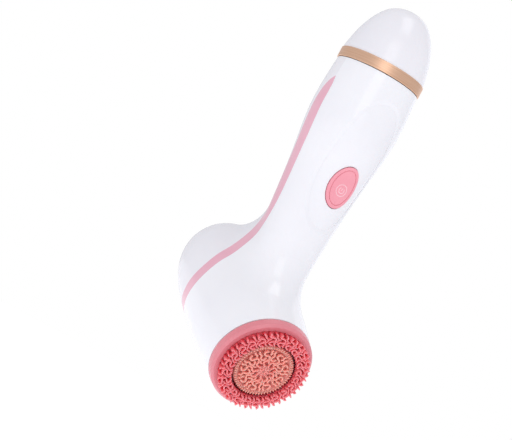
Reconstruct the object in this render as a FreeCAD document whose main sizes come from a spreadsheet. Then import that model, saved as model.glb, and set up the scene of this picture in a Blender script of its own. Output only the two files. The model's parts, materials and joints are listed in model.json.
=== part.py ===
import FreeCAD, Part
import math
import os
import re
import Sketcher
from fcgear import fcgear, involute

# Facial cleansing brush with a counter-rotating silicone brush head.
# Part frame: +Z runs up the handle to the end cap, -Y is the button side,
# and the origin is the centre of the metal collar under the cap.
# Head frame: its own +Z (called "along") points out of the brush face.

V = FreeCAD.Vector
ORIGIN = V(0, 0, 0)
UP = V(0, 0, 1)

doc = FreeCAD.newDocument("FacialCleansingBrush")
sizes = doc.addObject("Spreadsheet::Sheet", "sizes")

CELLS = [
    ("wall", 2.2, "shell wall"),
    ("runGap", 0.3, "gap between pieces that move past each other"),
    ("bearingGap", 0.05, "radial clearance of a running fit"),
    # collar and end cap
    ("collarRadius", 20.85, "outside of the metal collar"),
    ("collarHeight", 5.0, ""),
    ("collarBore", 19.6, "inside of the metal collar"),
    ("collarChamfer", 0.2, ""),
    ("capRadius", 20.4, "end cap at its rim"),
    ("capLength", 28.6, "end cap, rim to crown"),
    ("capTaper", 1.45, "exponent of the cap's outline along its height"),
    ("capShoulder", 2.6, "exponent of the cap's outline across it"),
    ("capWall", 1.6, ""),
    ("spigotRadius", 18.0, "plug of the cap inside the handle's mouth"),
    ("spigotBore", 16.1, ""),
    ("spigotDepth", 8.5, "reach below the collar's centre"),
    ("spigotTop", 6.4, "top of the plug inside the cap"),
    ("webThickness", 1.2, ""),
    ("capContactWidth", 20.0, "spring plate that joins the two cells"),
    ("capContactDepth", 6.0, ""),
    ("capContactThickness", 0.5, ""),
    ("sealSection", 0.72, "radius of the O-ring's section"),
    ("sealCentre", 17.62, "radius of the O-ring's centre line"),
    ("sealLevel", 6.0, "O-ring below the collar's centre"),
    ("grooveHalf", 0.9, "half the O-ring groove's width"),
    ("grooveFloor", 16.85, ""),
    # handle
    ("mouthLevel", 2.8, "handle's rim below the collar's centre"),
    ("mouthRadius", 20.4, ""),
    ("mouthBore", 18.4, ""),
    ("mouthDepth", 9.3, "straight bore in the handle's mouth"),
    ("gripRadius", 21.4, "widest part of the grip"),
    ("gripLevel", 26.0, ""),
    ("shoulderInset", 0.2, "grip just under its mouth, inside its widest radius"),
    ("shoulderLevel", 14.0, ""),
    ("waistRadius", 18.75, ""),
    ("waistLevel", 49.0, ""),
    ("throatRadius", 16.7, ""),
    ("throatLevel", 68.0, ""),
    ("neckRadius", 15.1, "thinnest part of the neck"),
    ("neckLevel", 89.0, ""),
    ("neckFoot", 122.0, "handle's own outline ends inside the head"),
    ("blendRadius", 24.0, "neck to head blend"),
    # head
    ("headLevel", 129.4, "where the head's axis meets the handle's axis"),
    ("headTilt", 27.1, "degrees that the brush face looks down"),
    ("headRadius", 25.1, ""),
    ("rimRadius", 23.3, "shell at the brush"),
    ("rimAlong", 27.0, ""),
    ("rimBore", 21.1, ""),
    ("domeAlong", 63.0, "back of the dome behind the handle's axis"),
    # recess and button
    ("recessDepth", 0.45, "oval panel sunk into the grip"),
    ("recessHalfWidth", 12.8, ""),
    ("recessHalfHeight", 31.6, ""),
    ("recessSlope", 1.8, "width of the slope around the panel"),
    ("recessLevel", 46.0, ""),
    ("recessFullness", 2.3, "2 is an ellipse, more is squarer"),
    ("buttonHalfWidth", 7.0, ""),
    ("buttonHalfHeight", 10.3, ""),
    ("buttonLevel", 56.3, ""),
    ("buttonFlange", 1.5, "how far the button's flange reaches past its hole"),
    ("buttonSkin", 3.4, "depth of the button's flange below the grip surface"),
    ("buttonLine", 0.3, "depth and width of the oval line on the button"),
    ("buttonLineWide", 5.6, "half the width of the oval line on the button"),
    ("buttonLineTall", 8.65, ""),
    ("stemRadius", 2.6, ""),
    ("stemRoot", 15.25, "stem's start in front of the handle's axis"),
    ("stemFace", 14.0, "stem's end in front of the handle's axis"),
    # batteries
    ("cellRadius", 7.2, "size AA"),
    ("cellLength", 50.5, "size AA with its nub"),
    ("cellCorner", 0.4, ""),
    ("nubRadius", 2.6, ""),
    ("nubHeight", 1.0, ""),
    ("cellSpacing", 15.1, ""),
    ("cellBack", 1.0, "cells behind the handle's axis"),
    ("cellFoot", 46.5, "bottom of the cells below the collar's centre"),
    ("bayWall", 0.8, ""),
    ("bayGap", 0.15, ""),
    ("bayFoot", 51.5, ""),
    ("bayFloor", 1.5, ""),
    ("bayRim", 4.5, "rim of the battery bay below the collar's centre"),
    ("bayFlangeFoot", 11.0, ""),
    ("bayFlange", 1.5, ""),
    ("springWire", 0.45, "radius of the battery spring's wire"),
    ("springRadius", 3.2, ""),
    ("springPitch", 0.93, "rise of one coil, in wire diameters"),
    ("contactSide", 6.0, "plate under the second cell"),
    ("contactThickness", 0.4, ""),
    ("contactPost", 1.2, ""),
    # board
    ("boardWidth", 16.0, ""),
    ("boardLength", 36.0, ""),
    ("boardThickness", 1.6, ""),
    ("boardBack", 8.0, "board in front of the handle's axis"),
    ("boardFoot", 74.0, ""),
    ("switchSide", 6.0, ""),
    ("switchHeight", 3.0, ""),
    ("switchBase", 0.6, "floor of the switch under its plunger"),
    ("plungerRadius", 1.7, ""),
    ("plungerReach", 2.6, ""),
    # gears
    ("driveModule", 0.5, ""),
    ("fastModule", 0.4, "motor pinion and its wheel"),
    ("pressureAngle", 25.0, "degrees"),
    ("addendum", 0.8, "tooth height above the pitch circle, in modules"),
    ("dedendum", 1.1, "tooth depth below it"),
    ("ringTeeth", 36, "gear that turns the outer brush"),
    ("sunTeeth", 24, "gear that turns the inner brush"),
    ("idlerTeeth", 14, ""),
    ("smallTeeth", 12, "compound gear's pinion"),
    ("wheelTeeth", 30, "compound gear's wheel"),
    ("motorTeeth", 12, ""),
    ("meshSlack", 0.1, "added to each centre distance"),
    ("wheelAlong", 3.4, ""),
    ("wheelFace", 3.0, ""),
    ("sunAlong", 9.2, ""),
    ("sunFace", 3.0, ""),
    ("ringAlong", 13.0, ""),
    ("ringFace", 4.0, ""),
    # gearbox
    ("boxRadius", 20.6, ""),
    ("boxBore", 19.4, ""),
    ("boxAlong", 2.4, ""),
    ("boxFront", 22.6, ""),
    ("boxEnd", 2.0, "thickness of the gearbox's front wall"),
    ("plateAlong", 7.2, ""),
    ("plateThickness", 1.2, ""),
    ("pinionRoom", 1.0, "room around the pinion in the middle plate"),
    ("mountAlong", 0.4, ""),
    ("postCircle", 15.5, ""),
    ("postRadius", 2.2, ""),
    ("screwShank", 0.9, ""),
    ("screwHead", 1.7, ""),
    ("headHeight", 1.1, ""),
    ("thinHead", 0.8, "heads of the motor screws"),
    ("boxScrew", 7.0, "screw lengths under the head"),
    ("noseScrew", 8.0, ""),
    ("motorBite", 2.0, "motor screws in the motor"),
    ("pinRadius", 1.0, ""),
    ("pinSeat", 1.0, "how far a pin sits in the wall that holds it"),
    ("pinTip", 0.4, "idler pin past its gear"),
    # nose plate, spindles
    ("noseAlong", 24.4, ""),
    ("noseFront", 26.4, ""),
    ("noseHub", 9.0, ""),
    ("sealRadius", 7.2, ""),
    ("sealAlong", 23.6, ""),
    ("sealLip", 0.4, "nose plate in front of the shaft seal"),
    ("spindleRadius", 4.6, ""),
    ("spindleBore", 2.6, ""),
    ("spindleCollar", 6.0, ""),
    ("spindleCollarLength", 1.9, ""),
    ("spindleFront", 30.8, ""),
    ("bushRadius", 6.4, ""),
    ("bushAlong", 19.2, ""),
    ("bushFront", 23.2, ""),
    ("shaftRadius", 1.5, ""),
    ("shaftBack", 7.4, ""),
    ("shaftFront", 33.7, ""),
    ("shaftBush", 3.0, "length of each bush on the inner shaft"),
    # motor
    ("motorRadius", 10.0, ""),
    ("motorFlats", 15.4, ""),
    ("motorLength", 20.0, ""),
    ("bellLength", 5.8, ""),
    ("bellFloor", 1.0, ""),
    ("tabWidth", 0.5, "motor terminals"),
    ("tabDepth", 3.0, ""),
    ("tabReach", 2.6, ""),
    ("tabSpacing", 8.0, ""),
    ("tabLevel", 6.0, ""),
    ("leadRadius", 0.6, ""),
    ("screwOffset", 7.4, "motor screws from the motor's axis"),
    ("screwDepth", 2.2, "their holes in the motor"),
    ("bossHeight", 1.4, "round boss on the motor's front"),
    ("shaftTail", 3.0, "motor shaft behind the can"),
    ("shaftTip", 0.4, "motor shaft in front of its pinion"),
    ("motorShaft", 1.0, ""),
    ("motorBoss", 3.0, ""),
    # brush head
    ("ringBack", 27.3, ""),
    ("ringPlate", 1.5, ""),
    ("bandFront", 31.7, ""),
    ("bandRadius", 22.3, "brush band at its front edge"),
    ("bandCorner", 0.35, "broken edges of the band"),
    ("bandMiddle", 23.0, "band where it starts to round in"),
    ("bandTurn", 1.2, "that place, behind the front edge"),
    ("lipRadius", 20.0, "inside of the band's flat front lip"),
    ("ringFloor", 31.0, "where the outer bristles start"),
    ("ringInner", 14.5, ""),
    ("ringBoreBlank", 3.8, "bore before its socket is cut"),
    ("bristleGap", 0.1, "bristles inside the edge they stand along"),
    ("outerTip", 36.0, "tips of the outer bristles"),
    ("outerRadius", 21.5, "reach of the outer bristles"),
    ("discRadius", 13.75, ""),
    ("discBack", 31.2, ""),
    ("discPlate", 1.4, ""),
    ("discSkirt", 29.3, ""),
    ("skirtWall", 1.2, ""),
    ("nubOutside", 2.9, "socket for the shaft's end in the disc"),
    ("nubRoof", 0.8, ""),
    ("innerTip", 34.9, "tips of the inner bristles"),
    ("hubRadius", 6.6, ""),
    ("hubFront", 30.6, ""),
]
for row, (alias, value, note) in enumerate(CELLS, start=1):
    sizes.set("A%d" % row, alias)
    sizes.set("B%d" % row, str(value))
    sizes.set("C%d" % row, note)
    sizes.setAlias("B%d" % row, alias)
doc.recompute()


def bound(text):
    """Turns 'wall + runGap' into the spreadsheet's own expression."""
    return re.sub(r"[A-Za-z]\w*", lambda word: "sizes." + word.group(), text)


def num(text):
    """The value of an expression in cell names."""
    return float(sizes.evalExpression(bound(text)))


TILT = math.radians(num("headTilt"))
FACE = V(0, -math.cos(TILT), -math.sin(TILT))
HEAD = FreeCAD.Placement(V(0, 0, -num("headLevel")), FreeCAD.Rotation(UP, FACE))
HOME = FreeCAD.Placement()
THROUGH = 30  # longer than any gear's bore


def at(x, y, z):
    """Placement at a point, unturned."""
    return FreeCAD.Placement(V(x, y, z), FreeCAD.Rotation())


def inHead(across, upward, along):
    """Placement at a point of the head frame, facing out of the brush."""
    return HEAD.multiply(at(across, upward, along))


# ---------------------------------------------------------------- builders

subParts = []


def keep(obj, label):
    """Marks a document object as a finished sub-part of the brush."""
    obj.Label = label
    subParts.append(obj)
    return obj


def bindPoint(sketch, line, across, upward):
    """Ties one corner of an outline to its two expressions."""
    for kind, text, axis in (("DistanceX", across, -2), ("DistanceY", upward, -1)):
        if text == "0":
            sketch.addConstraint(Sketcher.Constraint("PointOnObject", line, 1, axis))
            continue
        index = sketch.addConstraint(Sketcher.Constraint(kind, -1, 1, line, 1, num(text)))
        sketch.setExpression("Constraints[%d]" % index, bound(text))


def lathe(label, outline, placement=HOME):
    """A body turned about its own Z axis from (radius, height) expressions."""
    body = doc.addObject("PartDesign::Body", label + "_body")
    sketch = body.newObject("Sketcher::SketchObject", label + "_outline")
    plane = [item for item in body.Origin.OriginFeatures if item.Role == "XZ_Plane"][0]
    sketch.AttachmentSupport = [(plane, "")]
    sketch.MapMode = "FlatFace"
    corners = [V(num(radius), num(height), 0) for radius, height in outline]
    count = len(corners)
    for i in range(count):
        sketch.addGeometry(Part.LineSegment(corners[i], corners[(i + 1) % count]))
    for i in range(count):
        sketch.addConstraint(Sketcher.Constraint("Coincident", i, 2, (i + 1) % count, 1))
    for i, (radius, height) in enumerate(outline):
        bindPoint(sketch, i, radius, height)
    turn = body.newObject("PartDesign::Revolution", label + "_turn")
    turn.Profile = (sketch, [""])
    turn.ReferenceAxis = (sketch, ["V_Axis"])
    turn.Angle = 360
    body.Placement = placement
    return keep(body, label)


def cylinder(radius, height, placement=HOME):
    rod = doc.addObject("Part::Cylinder", "rod")
    rod.setExpression("Radius", bound(radius))
    rod.setExpression("Height", bound(height))
    rod.Placement = placement
    return rod


def hexagon(radius, height, placement=HOME):
    prism = doc.addObject("Part::Prism", "hex")
    prism.Polygon = 6
    prism.setExpression("Circumradius", bound(radius))
    prism.setExpression("Height", bound(height))
    prism.Placement = placement
    return prism


def box(length, width, height, placement=HOME):
    block = doc.addObject("Part::Box", "block")
    block.setExpression("Length", bound(length))
    block.setExpression("Width", bound(width))
    block.setExpression("Height", bound(height))
    block.Placement = placement
    return block


def torus(major, minor, placement=HOME):
    ring = doc.addObject("Part::Torus", "ring")
    ring.setExpression("Radius1", bound(major))
    ring.setExpression("Radius2", bound(minor))
    ring.Placement = placement
    return ring


def fuse(pieces):
    joined = doc.addObject("Part::MultiFuse", "joined")
    joined.Shapes = pieces
    return joined


def cut(base, tools):
    tool = tools[0] if len(tools) == 1 else fuse(tools)
    result = doc.addObject("Part::Cut", "cut")
    result.Base = base
    result.Tool = tool
    return result


def common(base, tool):
    result = doc.addObject("Part::Common", "common")
    result.Base = base
    result.Tool = tool
    return result


def group(pieces):
    """Identical fasteners kept in one node as separate solids."""
    bundle = doc.addObject("Part::Compound", "bundle")
    bundle.Links = pieces
    return bundle


def feature(label, shape, placement=HOME):
    """A shape from Part's own functions, where no feature fits."""
    piece = doc.addObject("Part::Feature", label + "_shape")
    piece.Shape = shape
    piece.Placement = placement
    return keep(piece, label)


# ---------------------------------------------------------- freeform skin

def turnedSkin(corners, inset, endTangent=None):
    """Solid of revolution about Z from a spline through (radius, z) corners,
    moved inward by inset along the outline's normal."""
    points = [V(radius, 0, z) for radius, z in corners]
    curve = Part.BSplineCurve()
    if endTangent:
        curve.interpolate(points, InitialTangent=V(0.08, 0, -1), FinalTangent=endTangent)
    else:
        curve.interpolate(points)
    moved = []
    for i, point in enumerate(points):
        slope = curve.tangent(curve.parameter(point))[0]
        normal = V(slope.z, 0, -slope.x)
        if normal.x > 0:
            normal = normal * -1
        if i == 0 or (i == len(points) - 1 and not endTangent):
            normal = V(-1, 0, 0)
        if i == len(points) - 1 and endTangent:
            normal = V(0, 0, -1 if point.z > points[0].z else 1)
        moved.append(point + normal * inset)
    outline = Part.BSplineCurve()
    if endTangent:
        outline.interpolate(moved, InitialTangent=V(0.08, 0, -1), FinalTangent=endTangent)
    else:
        outline.interpolate(moved)
    first, last = moved[0], moved[-1]
    edges = [outline.toShape()]
    if last.x > 0:
        edges.append(Part.makeLine(last, V(0, 0, last.z)))
    edges.append(Part.makeLine(V(0, 0, last.z), V(0, 0, first.z)))
    edges.append(Part.makeLine(V(0, 0, first.z), first))
    turned = Part.Face(Part.Wire(edges)).revolve(ORIGIN, UP, 360)
    return turned if turned.ShapeType == "Solid" else Part.Solid(turned)


def gripSkin(inset):
    """The handle, from its mouth down into the head."""
    corners = [
        (num("mouthRadius"), -num("mouthLevel")),
        (num("gripRadius - shoulderInset"), -num("shoulderLevel")),
        (num("gripRadius"), -num("gripLevel")),
        (num("waistRadius"), -num("waistLevel")),
        (num("throatRadius"), -num("throatLevel")),
        (num("neckRadius"), -num("neckLevel")),
        (num("neckRadius"), -num("neckFoot")),
    ]
    return turnedSkin(corners, inset)


# barrel of the head: how far inside its widest radius, at each level along its axis
BARREL = [(0.5, 14.0), (0.0, 0.0), (0.1, -14.0), (0.6, -28.0), (2.5, -42.0), (7.9, -54.0), (16.6, -61.0)]


def headSkin(inset):
    """The head: a barrel open at the brush and domed at the back."""
    radius = num("headRadius")
    corners = [(num("rimRadius"), num("rimAlong"))]
    corners += [(radius - inside, along) for inside, along in BARREL]
    corners.append((0.0, -num("domeAlong")))
    skin = turnedSkin(corners, inset, V(-1, 0, 0))
    skin.Placement = HEAD
    return skin


def blendEdges(shape):
    """Edges where the neck runs into the head, above the head's axis."""
    found = []
    for edge in shape.Edges:
        span = edge.BoundBox
        if edge.Length > 40 and abs(edge.CenterOfMass.x) < 1 and -112 < span.ZMin and span.ZMax < -80:
            found.append(edge)
    return found


def wholeSkin(inset):
    joined = gripSkin(inset).fuse(headSkin(inset))
    return joined.makeFillet(num("blendRadius") + inset, blendEdges(joined))


def ovalPrism(halfWidth, halfHeight, level):
    """Upright oval prism through the front of the handle, along Y."""
    front = -num("gripRadius") - 8
    tall = V(0, front, halfHeight - level)
    oval = Part.Ellipse(tall, V(halfWidth, front, -level), V(0, front, -level))
    return Part.Face(Part.Wire([oval.toShape()])).extrude(V(0, num("gripRadius"), 0))


def squarishPrism(halfWidth, halfHeight, level, fullness):
    """Prism like ovalPrism's, its ends rounder than an ellipse's."""
    front = -num("gripRadius") - 8
    steps = 24
    points = []
    for i in range(steps):
        angle = 2 * math.pi * i / steps
        across = math.copysign(abs(math.cos(angle)) ** (2 / fullness), math.cos(angle))
        upward = math.copysign(abs(math.sin(angle)) ** (2 / fullness), math.sin(angle))
        points.append(V(halfWidth * across, front, halfHeight * upward - level))
    outline = Part.BSplineCurve()
    outline.interpolate(points, PeriodicFlag=True)
    return Part.Face(Part.Wire([outline.toShape()])).extrude(V(0, num("gripRadius"), 0))


# the coloured strip in side view, from tip to foot: y, z and half its width
STRIP = [
    (-1.2, -12.6, 0.0),
    (0.1, -17.0, 2.4),
    (1.4, -24.0, 3.6),
    (1.9, -34.0, 3.9),
    (2.6, -45.0, 3.9),
    (3.5, -58.0, 4.0),
    (4.1, -70.0, 4.2),
    (5.2, -79.0, 4.2),
    (8.0, -89.0, 3.8),
    (11.2, -98.0, 3.0),
    (12.1, -107.0, 2.6),
    (13.4, -116.0, 2.7),
    (17.2, -124.5, 2.9),
    (22.2, -131.8, 2.8),
    (28.0, -137.2, 2.2),
    (31.5, -139.8, 0.0),
]


def seamCurve():
    """Middle of the coloured strip in side view."""
    curve = Part.BSplineCurve()
    curve.interpolate([V(0, y, z) for y, z, half in STRIP])
    return curve


def stripFace():
    """Outline of the strip in side view, pointed at both ends."""
    seam = seamCurve()
    sides = []
    for side in (1, -1):
        points = []
        for y, z, half in STRIP:
            slope = seam.tangent(seam.parameter(V(0, y, z)))[0]
            points.append(V(0, y, z) + V(0, -slope.z, slope.y) * (side * half))
        edge = Part.BSplineCurve()
        edge.interpolate(points)
        sides.append(edge.toShape())
    return Part.Face(Part.Wire(sides))


def frontFace():
    """Everything in front of the seam in side view."""
    seam = seamCurve()
    top = seam.value(seam.FirstParameter)
    foot = seam.value(seam.LastParameter)
    above = V(0, top.y, 10)
    below = foot + seam.tangent(seam.LastParameter)[0] * 30
    lowest = -200
    ahead = -80
    corners = [foot, below, V(0, below.y, lowest), V(0, ahead, lowest), V(0, ahead, 10), above, top]
    edges = [seam.toShape()]
    edges += [Part.makeLine(a, b) for a, b in zip(corners, corners[1:])]
    return Part.Face(Part.Wire(edges))


def panelled(shell):
    """The casing with the shallow oval panel in its grip, a gentle slope around it."""
    outline = squarishPrism(num("recessHalfWidth"), num("recessHalfHeight"), num("recessLevel"),
                            num("recessFullness"))
    recess = gripSkin(-1).cut(gripSkin(num("recessDepth"))).common(outline)
    sunk = shell.cut(recess)
    skin = gripSkin(0).Faces
    rim = []
    for edge in sunk.Edges:
        span = edge.BoundBox
        middle = Part.Vertex(edge.valueAt((edge.FirstParameter + edge.LastParameter) / 2))
        inPanel = span.YMax < -num("neckRadius") / 2 and span.ZLength > num("recessHalfHeight")
        if inPanel and min(face.distToShape(middle)[0] for face in skin) < 0.02:
            rim.append(edge)
    return sunk.makeChamfer(num("recessSlope"), num("recessDepth") - 0.03, rim)


def hollowShell():
    """The whole casing as one hollow skin with its openings."""
    bore = Part.makeCylinder(num("mouthBore"), num("mouthDepth"), V(0, 0, -num("mouthDepth")))
    rim = Part.makeCylinder(num("rimBore"), 3, V(0, 0, num("rimAlong") - 2))
    rim.Placement = HEAD
    shell = wholeSkin(0).cut(wholeSkin(num("wall"))).cut(bore).cut(rim)
    gap = num("runGap") / 2
    hole = ovalPrism(num("buttonHalfWidth") + gap, num("buttonHalfHeight") + gap, num("buttonLevel"))
    return panelled(shell).cut(hole)


def casing():
    """Front and rear shells, and the coloured strip on each side."""
    shell = hollowShell()
    reach = 40
    strip = stripFace()
    stripLeft = strip.extrude(V(-reach, 0, 0))
    stripRight = strip.extrude(V(reach, 0, 0))
    front = frontFace()
    front.translate(V(-reach, 0, 0))
    frontBlock = front.extrude(V(2 * reach, 0, 0))
    plain = shell.cut(stripLeft).cut(stripRight)
    feature("front_shell", plain.common(frontBlock))
    feature("rear_shell", plain.cut(frontBlock))
    feature("accent_strip_left", shell.common(stripLeft))
    feature("accent_strip_right", shell.common(stripRight))


def endCap():
    radius = num("capRadius")
    foot = num("collarHeight") / 2
    corners = []
    for share in (0, 0.15, 0.32, 0.5, 0.67, 0.82, 0.92, 0.98, 1):
        spread = max(0.0, 1 - share ** num("capTaper")) ** (1 / num("capShoulder"))
        corners.append((radius * spread, foot + num("capLength") * share))
    turnedCorners = [(r, -z) for r, z in corners]
    outside = turnedSkin(turnedCorners, 0, V(-1, 0, 0))
    inside = turnedSkin(turnedCorners, num("capWall"), V(-1, 0, 0))
    crownUp = FreeCAD.Placement(ORIGIN, FreeCAD.Rotation(V(1, 0, 0), 180))
    feature("end_cap", outside.cut(inside), crownUp)


# ------------------------------------------------------------ cap and collar

def collarAndPlug():
    lathe("collar_ring", [
        ("collarBore", "0 - collarHeight / 2"),
        ("collarRadius - collarChamfer", "0 - collarHeight / 2"),
        ("collarRadius", "collarChamfer - collarHeight / 2"),
        ("collarRadius", "collarHeight / 2 - collarChamfer"),
        ("collarRadius - collarChamfer", "collarHeight / 2"),
        ("collarBore", "collarHeight / 2"),
    ])
    lathe("cap_spigot", [
        ("spigotBore", "0 - spigotDepth"),
        ("spigotRadius", "0 - spigotDepth"),
        ("spigotRadius", "0 - sealLevel - grooveHalf"),
        ("grooveFloor", "0 - sealLevel - grooveHalf"),
        ("grooveFloor", "grooveHalf - sealLevel"),
        ("spigotRadius", "grooveHalf - sealLevel"),
        ("spigotRadius", "0 - collarHeight / 2"),
        ("collarBore", "0 - collarHeight / 2"),
        ("collarBore", "collarHeight / 2"),
        ("spigotRadius", "collarHeight / 2"),
        ("spigotRadius", "spigotTop"),
        ("0", "spigotTop"),
        ("0", "spigotTop - webThickness"),
        ("spigotBore", "spigotTop - webThickness"),
    ])
    keep(torus("sealCentre", "sealSection", at(0, 0, -num("sealLevel"))), "cap_seal")
    corner = at(-num("capContactWidth") / 2, num("cellBack - capContactDepth / 2"),
                num("spigotTop - webThickness - capContactThickness"))
    keep(box("capContactWidth", "capContactDepth", "capContactThickness", corner), "cap_contact")


# ------------------------------------------------------------------ handle

def batteryBay():
    half = num("cellSpacing") / 2
    back = num("cellBack")
    foot = -num("bayFoot")
    outer = "cellRadius + bayGap + bayWall"
    tall = "bayFoot - bayRim"
    walls = [
        cylinder(outer, tall, at(-half, back, foot)),
        cylinder(outer, tall, at(half, back, foot)),
        box("cellSpacing", "2 * (%s)" % outer, tall, at(-half, back - num(outer), foot)),
        cylinder("mouthBore - bearingGap", "bayFlange", at(0, 0, -num("bayFlangeFoot"))),
    ]
    bores = []
    for side in (-1, 1):
        place = at(side * half, back, foot + num("bayFloor"))
        bores.append(cylinder("cellRadius + bayGap", "bayFoot", place))
    keep(cut(fuse(walls), bores), "battery_frame")


def batteries():
    outline = [
        ("0", "0"),
        ("cellRadius - cellCorner", "0"),
        ("cellRadius", "cellCorner"),
        ("cellRadius", "cellLength - nubHeight - cellCorner"),
        ("cellRadius - cellCorner", "cellLength - nubHeight"),
        ("nubRadius", "cellLength - nubHeight"),
        ("nubRadius", "cellLength"),
        ("0", "cellLength"),
    ]
    half = num("cellSpacing") / 2
    low = -num("cellFoot")
    lathe("battery_cell_1", outline, at(-half, num("cellBack"), low))
    flipped = FreeCAD.Placement(V(half, num("cellBack"), low + num("cellLength")),
                                FreeCAD.Rotation(V(1, 0, 0), 180))
    lathe("battery_cell_2", outline, flipped)


def batterySpring():
    """Compression spring under the first cell, its coils closed up."""
    coils = []
    base = num("bayFloor - bayFoot")
    pitch = num("2 * springWire * springPitch")
    count = int(num("bayFoot - bayFloor - cellFoot") / pitch)
    for i in range(count):
        level = base + num("springWire") + i * pitch
        coils.append(torus("springRadius", "springWire", at(-num("cellSpacing") / 2, num("cellBack"), level)))
    keep(fuse(coils), "battery_spring")
    half = num("contactSide") / 2
    middle = num("cellSpacing") / 2
    strap = box("contactSide", "contactSide", "contactThickness",
                at(middle - half, num("cellBack") - half, base))
    post = cylinder("contactPost", "bayFoot - bayFloor - cellFoot", at(middle, num("cellBack"), base))
    keep(fuse([strap, post]), "battery_contact")


# chip, capacitor and resistor: width, thickness and height, then left edge and foot
BOARD_PARTS = [(5.0, 1.2, 5.0, -2.5, -70.0), (3.0, 2.4, 2.0, 2.0, -44.0), (3.2, 0.8, 1.6, -5.5, -45.0)]


def board():
    front = -num("boardBack + boardThickness")
    keep(box("boardWidth", "boardThickness", "boardLength",
             at(-num("boardWidth") / 2, front, -num("boardFoot"))), "circuit_board")
    side = num("switchSide")
    face = front - num("switchHeight")
    body = box("switchSide", "switchHeight", "switchSide",
               at(-side / 2, face, -num("buttonLevel") - side / 2))
    inward = FreeCAD.Rotation(UP, V(0, 1, 0))
    well = cylinder("plungerRadius + 2 * bearingGap", "switchHeight - switchBase",
                    FreeCAD.Placement(V(0, face, -num("buttonLevel")), inward))
    keep(cut(body, [well]), "tact_switch")
    keep(cylinder("plungerRadius", "plungerReach",
                  FreeCAD.Placement(V(0, -num("stemFace"), -num("buttonLevel")), inward)), "switch_plunger")
    fitted = []
    for length, thick, tall, left, foot in BOARD_PARTS:
        fitted.append(box(str(length), str(thick), str(tall), at(left, front - thick, foot)))
    keep(group(fitted), "board_components")


def button():
    """Oval push button whose face follows the grip, with a flange behind the shell."""
    gap = num("runGap") / 2
    wide = num("buttonHalfWidth")
    tall = num("buttonHalfHeight")
    level = num("buttonLevel")
    flange = num("buttonFlange")
    line = num("buttonLine")
    deep = gripSkin(num("buttonSkin"))
    plug = gripSkin(0).cut(deep).common(ovalPrism(wide - gap, tall - gap, level))
    collar = gripSkin(num("wall") + 2 * gap).cut(deep)
    collar = collar.common(ovalPrism(wide + flange, tall + flange, level))
    stemTop = V(0, -num("stemRoot"), -level)
    stem = Part.makeCylinder(num("stemRadius"), num("stemRoot - stemFace"), stemTop, V(0, 1, 0))
    lineWide = num("buttonLineWide")
    lineTall = num("buttonLineTall")
    outer = ovalPrism(lineWide, lineTall, level)
    inner = ovalPrism(lineWide - line, lineTall - line, level)
    groove = gripSkin(-1).cut(gripSkin(line)).common(outer.cut(inner))
    feature("button", plug.fuse(collar).fuse(stem).cut(groove))


def wire(points, radius, share=0.45):
    """A round wire through the points, every corner rounded by an arc."""
    edges = []
    start = points[0]
    for before, corner, after in zip(points, points[1:], points[2:]):
        one = (before - corner).normalize()
        two = (after - corner).normalize()
        turn = math.pi - one.getAngle(two)
        cutBack = share * min(before.distanceToPoint(corner), after.distanceToPoint(corner))
        bend = cutBack / math.tan(turn / 2)
        middle = (one + two).normalize()
        centre = corner + middle * math.hypot(bend, cutBack)
        enter = corner + one * cutBack
        leave = corner + two * cutBack
        edges.append(Part.makeLine(start, enter))
        edges.append(Part.Arc(enter, centre - middle * bend, leave).toShape())
        start = leave
    edges.append(Part.makeLine(start, points[-1]))
    path = Part.Wire(edges)
    section = Part.Wire([Part.makeCircle(radius, points[0], points[1] - points[0])])
    return path.makePipeShell([section], True, False)


# corners of one insulated wire; the other is its mirror image
LEAD_ROUTE = [
    (2.5, -7.2, -70.0),
    (2.5, -5.5, -80.0),
    (3.0, 6.0, -94.0),
    (4.0, 16.0, -101.0),
    (4.0, 19.6, -108.6),
]


def leads():
    """Two insulated wires from the board to the motor's terminals."""
    wires = []
    for side in (-1, 1):
        wires.append(wire([V(side * x, y, z) for x, y, z in LEAD_ROUTE], num("leadRadius")))
    feature("motor_leads", Part.makeCompound(wires))


# ------------------------------------------------------------------- gears

def meshAngle(teethA, angleA, direction, teethB):
    """Angle of gear B, in degrees, so that it meshes with gear A."""
    share = (direction - angleA) / (360 / teethA)
    return direction + 180 - (0.5 - share) * 360 / teethB


def gearBlank(module, teeth, face, angle):
    """Involute spur gear, its first tooth at the given angle."""
    builder = fcgear.FCWireBuilder()
    involute.CreateExternalGear(builder, module, teeth, num("pressureAngle"), True,
                                addCoeff=num("addendum"), dedCoeff=num("dedendum"))
    outline = Part.Wire([curve.toShape() for curve in builder.wire])
    gear = Part.Face(outline).extrude(V(0, 0, face))
    gear.rotate(ORIGIN, UP, angle)
    return gear


def gearCentres():
    """Gear axes in the head frame, as (across, upward)."""
    module = num("driveModule")
    slack = num("meshSlack")
    toSmall = module * num("ringTeeth + smallTeeth") / 2 + slack
    toIdler = module * num("sunTeeth + idlerTeeth") / 2 + slack
    between = module * num("smallTeeth + idlerTeeth") / 2 + slack
    upward = (toSmall ** 2 + toIdler ** 2 - between ** 2) / (2 * toSmall)
    across = math.sqrt(toIdler ** 2 - upward ** 2)
    toMotor = num("fastModule") * num("wheelTeeth + motorTeeth") / 2 + slack
    return (0.0, toSmall), (across, upward), (0.0, toSmall - toMotor)


SMALL, IDLER, MOTOR = gearCentres()


def heading(fromPoint, toPoint):
    return math.degrees(math.atan2(toPoint[1] - fromPoint[1], toPoint[0] - fromPoint[0]))


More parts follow.
